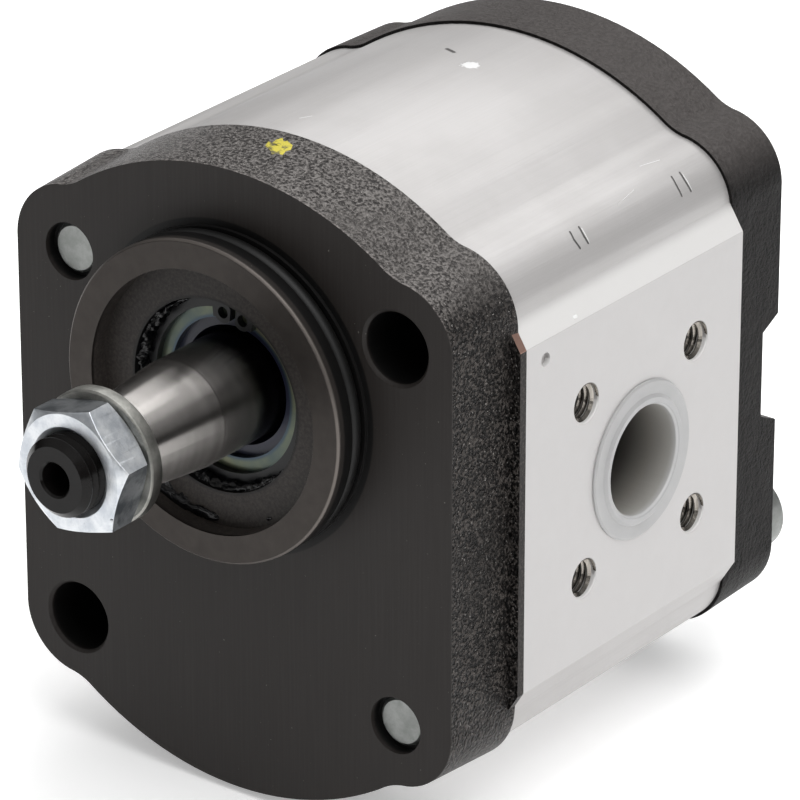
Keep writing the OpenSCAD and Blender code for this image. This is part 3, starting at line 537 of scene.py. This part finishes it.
def plain_metal(name, low, high, rough):
    s = Surface(name)
    lines = s.noise(1.0, 3, 0.6, (0.3, 3.0, 0.3))
    return s.finish(s.mix(lines, low, high), s.blend(lines, rough, rough + 0.1), 1.0,
                    s.bump(lines, 0.01, 0.6))


def paint():
    """A worn dab of yellow marking paint."""
    s = Surface("yellow_paint")
    wear = s.noise(0.9, 4, 0.7)
    colour = s.mix(s.band(wear, 0.46, 0.62), (0.56, 0.48, 0.035), (0.13, 0.115, 0.03))
    return s.finish(colour, 0.6, 0.0, s.bump(wear, 0.12, 0.8))


MATERIALS = {
    "front_casting": front_casting(),
    "rear_casting": rear_casting(),
    "extruded_aluminium": aluminium_body(),
    "ground_steel": ground_steel(),
    "bright_zinc": plated("bright_zinc", (0.50, 0.53, 0.57), (0.74, 0.76, 0.78), (0.34, 0.46),
                          painted_shade=nut_painted_reflection),
    "dull_zinc": plated("dull_zinc", (0.22, 0.23, 0.22), (0.33, 0.34, 0.33), (0.42, 0.56)),
    "yellow_zinc": yellow_ring(),
    "spring_steel": plated("spring_steel", (0.22, 0.22, 0.205), (0.36, 0.355, 0.33), (0.36, 0.48),
                           0.9, washer_painted_shade),
    "black_spring_steel": rubber("black_spring_steel", (0.0035, 0.0038, 0.0045),
                                 (0.008, 0.008, 0.009), 0.40),
    "bearing_aluminium": plain_metal("bearing_aluminium", (0.62, 0.63, 0.64),
                                     (0.74, 0.74, 0.75), 0.32),
    "bush_bronze": plain_metal("bush_bronze", (0.40, 0.30, 0.17), (0.52, 0.40, 0.24), 0.34),
    "blue_seal_rubber": rubber("blue_seal_rubber", (0.010, 0.012, 0.030),
                               (0.018, 0.021, 0.042), 0.36, 0.1),
    "black_rubber": rubber("black_rubber", (0.0035, 0.0035, 0.0035), (0.007, 0.007, 0.007), 0.46),
    "backup_plastic": rubber("backup_plastic", (0.72, 0.68, 0.58), (0.80, 0.77, 0.68), 0.4),
    "plug_plastic": plug_plastic(),
    "tapped": plain_metal("tapped_thread", (0.020, 0.015, 0.012), (0.56, 0.52, 0.47), 0.18),
    "paint": paint(),
    "grease": rubber("grease", (0.0022, 0.0023, 0.0030), (0.0045, 0.0045, 0.0052), 0.24, 0.15),
}

for part in frame["record"]["subparts"]:
    obj = NODES[part["node"]]
    slots = obj.data.materials
    slots.clear()
    slots.append(MATERIALS[part["material_slot"]])
    for face in obj.data.polygons:
        face.material_index = 0

# ---------------------------------------------------------------- soft edges on the CAD pieces
# Width of the rounded edges, in mm.
EDGES = {
    "front_cover": 0.25, "pump_body": 0.15, "rear_cover": 0.45, "shaft_nut": 0.12,
    "spring_washer": 0.1, "assembly_bolts": 0.12, "suction_plug": 0.12, "pressure_plug": 0.12,
}


def soften(name, width):
    weld = NODES[name].modifiers.new("weld", "WELD")
    weld.merge_threshold = 2e-6
    bevel = NODES[name].modifiers.new("edge", "BEVEL")
    bevel.width = width * MM
    bevel.segments = 3
    bevel.limit_method = "ANGLE"
    bevel.angle_limit = math.radians(32)
    bevel.use_clamp_overlap = True
    bevel.harden_normals = True


for node_name, edge_width in EDGES.items():
    soften(node_name, edge_width)

# ---------------------------------------------------------------- added pieces


def add_mesh(name, verts, faces, material, body, smooth=True):
    """A piece that rides on a body, from points in mm."""
    mesh = bpy.data.meshes.new(name)
    mesh.from_pydata([tuple(c * MM for c in v) for v in verts], [], faces)
    mesh.validate()
    mesh.materials.append(MATERIALS[material])
    for polygon in mesh.polygons:
        polygon.use_smooth = smooth
    piece = bpy.data.objects.new(name, mesh)
    scene.collection.objects.link(piece)
    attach(piece, body)


def helix(name, centre, side, outer, inner, pitch, length):
    """The thread inside a hole whose mouth faces side * X."""
    steps, verts, faces = 40, [], []
    total = int(length / pitch * steps)
    crest, root, root_r = pitch * 0.06, pitch * 0.46, outer + 0.04
    for i in range(total + 1):
        a = 2 * math.pi * i / steps
        depth = -0.25 * pitch - i * pitch / steps
        fade = min(1.0, i / (steps * 0.5))
        top = outer - (outer - inner) * fade
        for r, off in ((root_r, -root), (top, -crest), (top, crest), (root_r, root)):
            x = min(0.0, depth + off)
            verts.append((centre[0] + side * x, centre[1] + r * math.cos(a),
                          centre[2] + side * r * math.sin(a)))
    for i in range(total):
        for k in range(3):
            a, b = i * 4 + k, (i + 1) * 4 + k
            faces.append((a, a + 1, b + 1, b))
    add_mesh(name, verts, faces, "tapped", "housing", smooth=False)


def port_threads():
    """The M6 threads of the four holes around each port."""
    for label, side in (("suction", 1), ("pressure", -1)):
        reach = PORT_THREAD_REACH[label]
        for i, (sy, sz) in enumerate(((-1, 1), (1, 1), (-1, -1), (1, -1))):
            centre = (side * 42.38, PORT_Y + sy * reach, MIDDLE_Z + sz * reach)
            helix(f"{label}_thread_{i + 1}", centre, side, 3.0, 2.5, 1.0, 9.5)


def tree_of(node):
    mesh = NODES[node].data
    return BVHTree.FromPolygons([v.co.copy() for v in mesh.vertices],
                                [tuple(p.vertices) for p in mesh.polygons])


def patch(name, node, outline, thick, material, rings=5):
    """A thin film lying on a node, from its outline in the photo."""
    tree = tree_of(node)

    def seen_at(px, py):
        """The point that the photo shows at a pixel, in mm, with the surface's normal."""
        half = PHOTO_PX / 2
        ray = FORWARD + RIGHT * ((px - half) / FOCAL_PX) - UP * ((py - half) / FOCAL_PX)
        point, normal, _, _ = tree.ray_cast(EYE, ray.normalized())
        return point / MM, normal

    cx = sum(p[0] for p in outline) / len(outline)
    cy = sum(p[1] for p in outline) / len(outline)
    verts, faces, n = [], [], len(outline)
    for ring in range(rings):
        k = 1 - ring / (rings - 0.5)
        for px, py in outline:
            point, normal = seen_at(cx + (px - cx) * k, cy + (py - cy) * k)
            lift = -0.03 if ring == 0 else thick * min(1.0, 0.55 + 0.2 * ring)
            verts.append(tuple(point + normal * lift))
    point, normal = seen_at(cx, cy)
    verts.append(tuple(point + normal * thick))
    for ring in range(rings - 1):
        for i in range(n):
            a, b = ring * n + i, ring * n + (i + 1) % n
            faces.append((a, b, b + n, a + n))
    base = (rings - 1) * n
    for i in range(n):
        faces.append((base + i, base + (i + 1) % n, len(verts) - 1))
    add_mesh(name, verts, faces, material, "housing")


def grease(name, radius, y, first, last, thick, wide, seed):
    """A lumpy bead of grease around the shaft's axis, between two angles in degrees."""
    verts, faces = [], []
    steps, ring = max(8, int(last - first)), 18
    for i in range(steps + 1):
        turn = math.radians(first + (last - first) * i / steps)
        taper = math.sin(math.pi * i / steps) ** 0.35
        for k in range(ring):
            a = 2 * math.pi * k / ring
            lump = 0.75
            for size, turns, around in ((0.75, 9, 0.9), (0.45, 31, 1.6), (0.30, 83, 3.5)):
                place = (turn * turns + seed, math.cos(a) * around, math.sin(a) * around)
                lump += size * noise.noise(Vector(place))
            lump = max(0.12, lump) * taper
            r = radius + thick * lump * math.cos(a)
            verts.append((r * math.cos(turn), y + wide * lump * math.sin(a), r * math.sin(turn)))
    for i in range(steps):
        for k in range(ring):
            a, b = i * ring + k, i * ring + (k + 1) % ring
            faces.append((a, b, b + ring, a + ring))
    faces.append(tuple(reversed(range(ring))))
    faces.append(tuple(range(steps * ring, (steps + 1) * ring)))
    add_mesh(name, verts, faces, "grease", "housing")


# Outline of the paint dab on the front cover's rim, in the photo's pixels.
DAB = [(264, 146), (267, 141), (271, 143), (276, 139), (283, 137), (284, 141), (288, 140),
       (294, 145), (292, 150), (286, 152), (283, 156), (277, 154), (271, 155), (269, 150)]

port_threads()
patch("paint_mark", "front_cover", DAB, 0.07, "paint")
grease("grease_seal_bore_side", 14.7, -2.0, 112, 224, 1.0, 1.5, 1.3)
grease("grease_seal_bore_below", 14.75, -1.9, 238, 322, 0.9, 1.3, 4.1)
grease("grease_recess_corner", 19.5, -3.5, 222, 272, 1.3, 0.8, 7.7)
grease("grease_crumb", 19.6, -3.4, 298, 302, 0.35, 0.4, 2.2)

# ---------------------------------------------------------------- floor and light


def make_floor():
    mesh = bpy.data.meshes.new("floor")
    low = cad_box[0].z - 0.0002
    n, half = 24, 3.0
    row = n + 1
    verts = [(-half + 2 * half * i / n, -half + 2 * half * j / n, low)
             for j in range(row) for i in range(row)]
    faces = [(j * row + i, j * row + i + 1, (j + 1) * row + i + 1, (j + 1) * row + i)
             for j in range(n) for i in range(n)]
    mesh.from_pydata(verts, [], faces)
    floor = bpy.data.objects.new("floor", mesh)
    s = Surface("pale_floor", Emission_Strength=0.35)
    s.shader.inputs["Emission Color"].default_value = (1, 1, 1, 1)
    pale = s.mix(s.noise(0.004, 3), (0.93, 0.93, 0.93), (0.95, 0.95, 0.95))
    mesh.materials.append(s.finish(pale, 0.7, 0.0))
    scene.collection.objects.link(floor)


def area(name, place, size, power, target=(0, 0.04, -0.01)):
    data = bpy.data.lights.new(name, "AREA")
    data.shape = "RECTANGLE"
    data.size, data.size_y = size
    data.energy = power
    lamp = bpy.data.objects.new(name, data)
    lamp.location = place
    lamp.rotation_mode = "QUATERNION"
    lamp.rotation_quaternion = (Vector(target) - Vector(place)).to_track_quat("-Z", "Y")
    scene.collection.objects.link(lamp)


def make_world():
    """Soft light from above, and little from the sides and below."""
    world = bpy.data.worlds.new("studio")
    scene.world = world
    world.use_nodes = True
    tree = world.node_tree
    back = tree.nodes["Background"]
    coords = tree.nodes.new("ShaderNodeTexCoord")
    split = tree.nodes.new("ShaderNodeSeparateXYZ")
    tree.links.new(coords.outputs["Generated"], split.inputs[0])
    shift = tree.nodes.new("ShaderNodeMath")
    shift.operation = "MULTIPLY_ADD"
    tree.links.new(split.outputs["Z"], shift.inputs[0])
    shift.inputs[1].default_value = 0.5
    shift.inputs[2].default_value = 0.5
    ramp = tree.nodes.new("ShaderNodeValToRGB")
    tree.links.new(shift.outputs[0], ramp.inputs[0])
    marks = ramp.color_ramp.elements
    marks[0].position, marks[0].color = 0.60, (0.04, 0.04, 0.04, 1)
    marks[1].position, marks[1].color = 0.86, (1.0, 1.0, 1.0, 1)
    tree.links.new(ramp.outputs[0], back.inputs["Color"])
    back.inputs["Strength"].default_value = 0.55


make_floor()
make_world()
area("key", (-0.25, 0.92, 0.95), (1.3, 0.9), 7.8)
area("top", (0.40, -0.1, 1.2), (1.2, 1.2), 12)
area("right", (1.15, -0.3, 0.6), (0.6, 0.6), 2.5)
scene.view_settings.view_transform = "Standard"
scene.view_settings.look = "None"
